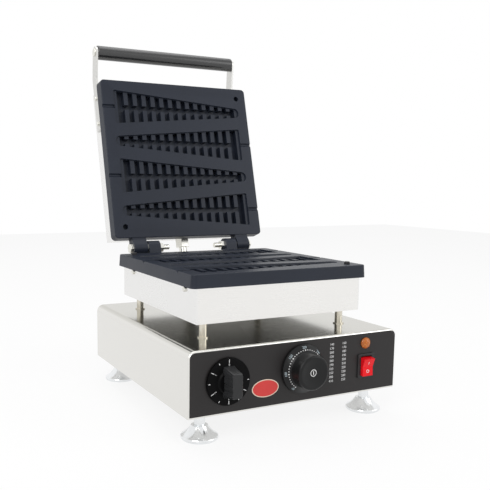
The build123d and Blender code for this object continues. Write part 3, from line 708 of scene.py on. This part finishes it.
mesh_piece("timer_marks", timer_marks, white_ink, "timer")
for minute in range(TIMER_MINUTES):
    name = "timer_number_" + str(minute)
    place = knob_place(timer_centre, DIAL_HEIGHT, 2 * minute * TIMER_STEP)
    place = place @ Matrix.Translation((0, TIMER_NUMBER_RADIUS * MM, 0))
    lettering(name, str(minute), TIMER_TEXT, place, white_ink, "timer")


# Thermostat dial: dots and numbers on the sloping skirt of the knob
SKIRT_FALL = SKIRT_TOP_HEIGHT - SKIRT_RIM_HEIGHT
SKIRT_RUN = SKIRT_RIM_RADIUS - SKIRT_TOP_RADIUS
DIAL_NUMBERS = (50, 100, 150, 200, 250, 300)
DIAL_START = math.radians(-144)
DIAL_SWEEP = math.radians(235)
DOTS_BETWEEN = 6
DOT_CIRCLE = 24.3
NUMBER_CIRCLE = 27.1
SMALL_DOT = 0.62 * MM
LARGE_DOT = 0.85 * MM
DIAL_TEXT = 4.2 * MM
MARK_LIFT = 0.16


def skirt_place(turn, radius):
    """A place on the skirt at a turn clockwise from the top, leaning with its slope."""
    share = (radius - SKIRT_TOP_RADIUS) / SKIRT_RUN
    place = knob_place(thermostat_centre, SKIRT_TOP_HEIGHT - share * SKIRT_FALL, -turn)
    slope = Matrix.Rotation(-math.atan2(SKIRT_FALL, SKIRT_RUN), 4, "X")
    return place @ Matrix.Translation((0, radius * MM, 0)) @ slope


def thermostat_dots(working):
    count = (len(DIAL_NUMBERS) - 1) * DOTS_BETWEEN
    for k in range(count + 1):
        turn = DIAL_START + k * DIAL_SWEEP / count
        size = SMALL_DOT if k % DOTS_BETWEEN else LARGE_DOT
        slab(working, disc(size, 10), skirt_place(turn, DOT_CIRCLE), PRINT)


mesh_piece("thermostat_dots", thermostat_dots, white_ink, "thermostat")
for k, number in enumerate(DIAL_NUMBERS):
    name = "thermostat_number_" + str(number)
    turn = DIAL_START + k * DIAL_SWEEP / (len(DIAL_NUMBERS) - 1)
    place = skirt_place(turn, NUMBER_CIRCLE)
    lettering(name, str(number), DIAL_TEXT, place, grey_ink, "thermostat")


def cap_mark(working):
    """A plain ring and bar in the middle of the knob's cap."""
    place = knob_place(thermostat_centre, CAP_FACE + MARK_LIFT)
    ring_slab(working, 4.3 * MM, 3.5 * MM, place, PRINT, 32)
    slab(working, strip(4.4 * MM, 1.1 * MM), place, PRINT)


mesh_piece("cap_mark", cap_mark, white_ink, "thermostat")


# Printing on the control panel
SCALE_ROWS = 10
SCALE_TOP = 66.9 * MM
SCALE_PITCH = 46.5 / (SCALE_ROWS - 1) * MM
SCALE_TEXT = 4.2 * MM
# Name, place across the panel, first number and step
SCALE_COLUMNS = (("left", 46.8 * MM, 140, 30), ("right", 65.8 * MM, 160, 10))
BADGE_X = -49 * MM
BADGE_UP = 24 * MM
for column, x, first, step in SCALE_COLUMNS:
    for k in range(SCALE_ROWS):
        name = "panel_number_" + column + "_" + str(k + 1)
        place = facing_front(x, panel_y, panel_bottom + SCALE_TOP - k * SCALE_PITCH)
        lettering(name, str(first + step * k), SCALE_TEXT, place, white_ink, "base")


def badge_plate(radius_x, squash, depth):
    """Builds one oval plate of the badge, raised a little from the panel."""

    def build(working):
        place = facing_front(BADGE_X, panel_y, panel_bottom + BADGE_UP)
        slab(working, disc(radius_x, 48, squash), place, depth)

    return build


mesh_piece("badge_rim", badge_plate(18.5 * MM, 0.58, 0.35 * MM), badge_cream, "base")
mesh_piece("badge_face", badge_plate(17.3 * MM, 0.56, 0.5 * MM), badge_red, "base")


# Signs on the rocker: a line on the upper half, a ring on the lower one
ROCKER_LEAN = math.radians(9)
PIVOT_BEHIND_PANEL = 1 * MM
ROCKER_VALLEY = 6.2 * MM
ROCKER_SLOPE = math.atan2(2.3, 11.5)
SIGN_FROM_VALLEY = 5.6 * MM
SIGN_LIFT = 0.02 * MM


def rocker_place(half):
    """The middle of the rocker's upper face (1) or lower face (-1)."""
    pivot = Vector((switch_centre.x, panel_y + PIVOT_BEHIND_PANEL, switch_centre.z))
    face = Matrix.Translation(pivot) @ Matrix.Rotation(ROCKER_LEAN, 4, "X")
    face = face @ Matrix.Translation((0, -ROCKER_VALLEY, 0))
    face = face @ Matrix.Rotation(half * ROCKER_SLOPE, 4, "X")
    face = face @ Matrix.Translation((0, 0, half * SIGN_FROM_VALLEY))
    return face @ facing_front(0, -SIGN_LIFT, 0)


def sign_on(working):
    slab(working, strip(3.6 * MM, 0.7 * MM), rocker_place(1), PRINT)


def sign_off(working):
    ring_slab(working, 2.1 * MM, 1.45 * MM, rocker_place(-1), PRINT, 24)


mesh_piece("switch_sign_on", sign_on, white_ink, "rocker")
mesh_piece("switch_sign_off", sign_off, white_ink, "rocker")


# Conduit: a ribbed metal hose from the lid's gland to the gland on the base
HOSE_RADIUS = 4.5 * MM
HOSE_RIB = 0.45 * MM
HOSE_PITCH = 2.2 * MM
HOSE_SIDES = 32
RINGS_PER_RIB = 6
LID_LEAN = math.radians(15)
LID_GLAND_FOOT = (0, 175.455, 207.902)
GLAND_LENGTH = 15
BASE_GLAND_TOP = (0, 141, 127)
STRAIGHT_RUN = 21


def hose_route():
    """The route's points, from the lid's gland down to the one on the base."""
    down = Vector((0, -math.sin(LID_LEAN), -math.cos(LID_LEAN)))
    wall = base_middle + Vector(LID_GLAND_FOOT) * MM
    start = wall + down * GLAND_LENGTH * MM
    lid_turn = start + down * STRAIGHT_RUN * MM
    finish = base_middle + Vector(BASE_GLAND_TOP) * MM
    base_turn = finish + Vector((0, 0, STRAIGHT_RUN * MM))
    return [start, lid_turn, base_turn, finish]


def smooth_line(points):
    """Even points along a smooth spline through the route."""
    curve = bpy.data.curves.new("hose line", "CURVE")
    curve.dimensions = "3D"
    spline = curve.splines.new("NURBS")
    spline.points.add(len(points) - 1)
    for target, point in zip(spline.points, points):
        target.co = (*point, 1)
    spline.order_u = 3
    spline.use_endpoint_u = True
    curve.resolution_u = 40
    return [vertex.co.copy() for vertex in curve_mesh("hose line", curve).vertices]


def resampled(line, step):
    """The same line with points a fixed step apart."""
    lengths = [0.0]
    for first, second in zip(line, line[1:]):
        lengths.append(lengths[-1] + (second - first).length)
    count = max(2, round(lengths[-1] / step))
    result = []
    k = 0
    for n in range(count + 1):
        target = lengths[-1] * n / count
        while k < len(lengths) - 2 and lengths[k + 1] < target:
            k += 1
        share = (target - lengths[k]) / (lengths[k + 1] - lengths[k])
        result.append(line[k].lerp(line[k + 1], share))
    return result, lengths[-1]


hose_line, hose_length = resampled(smooth_line(hose_route()), HOSE_PITCH / RINGS_PER_RIB)


def ribbed_hose(working):
    turns = [2 * math.pi * n / HOSE_SIDES for n in range(HOSE_SIDES)]
    side = Vector((1, 0, 0))
    rings = []
    for k, point in enumerate(hose_line):
        ahead = hose_line[min(k + 1, len(hose_line) - 1)] - hose_line[max(k - 1, 0)]
        up = ahead.cross(side).normalized()
        radius = HOSE_RADIUS - HOSE_RIB * (0.5 + 0.5 * math.cos(2 * math.pi * k / RINGS_PER_RIB))
        around = [point + radius * (math.cos(t) * side + math.sin(t) * up) for t in turns]
        rings.append([working.verts.new(place) for place in around])
    for low, high in zip(rings, rings[1:]):
        for n in range(HOSE_SIDES):
            nxt = (n + 1) % HOSE_SIDES
            working.faces.new((low[n], low[nxt], high[nxt], high[n]))
    working.faces.new(rings[0][::-1])
    working.faces.new(rings[-1])


hose = mesh_piece("conduit_hose", ribbed_hose, hose_steel, None)
for face in hose.data.polygons:
    face.use_smooth = True
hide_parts("conduit")
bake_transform(hose)


# Studio: pale floor and soft light
FLOOR_SIDE = 6.0
FLOOR_WHITE = 0.82
SOFT_LIGHT = 0.62


def floor_finish():
    """A pale floor that is white to the camera and in reflections, but keeps the object's shadow."""
    finish = Finish("studio floor", (0.88, 0.88, 0.88), 0.7)
    cloud = finish.noise(3, detail=2)
    finish.set("Roughness", 0.65 + cloud * 0.1)
    matt = Value(finish, finish.shader.outputs[0])
    white = finish.node("ShaderNodeEmission").out()
    share = finish.seen_directly() * FLOOR_WHITE
    blended = finish.node("ShaderNodeMixShader", {}, [share, matt, white]).out()
    output = finish.tree.nodes["Material Output"]
    finish.tree.links.new(blended.socket, output.inputs["Surface"])
    return finish


def studio_floor(working):
    working.faces.new([working.verts.new((x, y, 0)) for x, y in strip(FLOOR_SIDE, FLOOR_SIDE)])


floor = plain_piece("studio_floor", studio_floor, floor_finish())


def soft_box(name, place, target, width, height, power):
    """A large soft lamp aimed at a point."""
    lamp = bpy.data.lights.new(name, "AREA")
    lamp.shape = "RECTANGLE"
    lamp.size = width
    lamp.size_y = height
    lamp.energy = power
    holder = bpy.data.objects.new(name, lamp)
    holder.location = place
    holder.rotation_euler = (Vector(target) - Vector(place)).to_track_quat("-Z", "Y").to_euler()
    scene.collection.objects.link(holder)


soft_box("key lamp", (-1.9, -1.5, 1.9), (0, 0, 0.2), 1.6, 1.6, 34)
soft_box("fill lamp", (1.9, -1.7, 1.2), (0, 0, 0.2), 1.6, 1.4, 12)
soft_box("top lamp", (0.1, 0.4, 2.4), (0, 0, 0.2), 2.0, 2.0, 16)


def studio_world():
    """White behind the object and in reflections, and an even grey-white light on it."""
    world = bpy.data.worlds.new("studio")
    scene.world = world
    world.use_nodes = True
    world.node_tree.nodes.clear()
    maker = Maker(world.node_tree)
    white = (1, 1, 1, 1)
    even = maker.node("ShaderNodeBackground", {}, [white, SOFT_LIGHT]).out()
    backdrop = maker.node("ShaderNodeBackground", {}, [white, 1.0]).out()
    blended = maker.node("ShaderNodeMixShader", {}, [maker.seen_directly(), even, backdrop]).out()
    maker.node("ShaderNodeOutputWorld", {}, {"Surface": blended})


studio_world()
scene.view_settings.view_transform = "Standard"

# Camera, as the photograph was taken
PICTURE = 490
FOCAL_PIXELS = 676.62
CENTRE_PIXEL = (197.04, 269.54)
SENSOR = 36.0
CAMERA_PLACE = base_middle + Vector((-0.46776, -0.81533, 0.29820))
yaw, pitch, roll = 0.46403, -0.12854, 0.00790
ahead = Vector((math.sin(yaw), math.cos(yaw), 0)) * math.cos(pitch)
forward = ahead + Vector((0, 0, math.sin(pitch)))
level = Vector((math.cos(yaw), -math.sin(yaw), 0))
lift = level.cross(forward)
right = math.cos(roll) * level + math.sin(roll) * lift
up = -math.sin(roll) * level + math.cos(roll) * lift
camera_data = bpy.data.cameras.new("camera")
camera_data.sensor_fit = "HORIZONTAL"
camera_data.sensor_width = SENSOR
camera_data.lens = FOCAL_PIXELS / PICTURE * SENSOR
camera_data.shift_x = (PICTURE / 2 - CENTRE_PIXEL[0]) / PICTURE
camera_data.shift_y = (CENTRE_PIXEL[1] - PICTURE / 2) / PICTURE
camera_data.clip_start = 0.01
camera = bpy.data.objects.new("camera", camera_data)
turned = Matrix((right, up, -forward)).transposed().to_4x4()
camera.matrix_world = Matrix.Translation(CAMERA_PLACE) @ turned
scene.collection.objects.link(camera)
scene.camera = camera

bpy.context.view_layer.update()
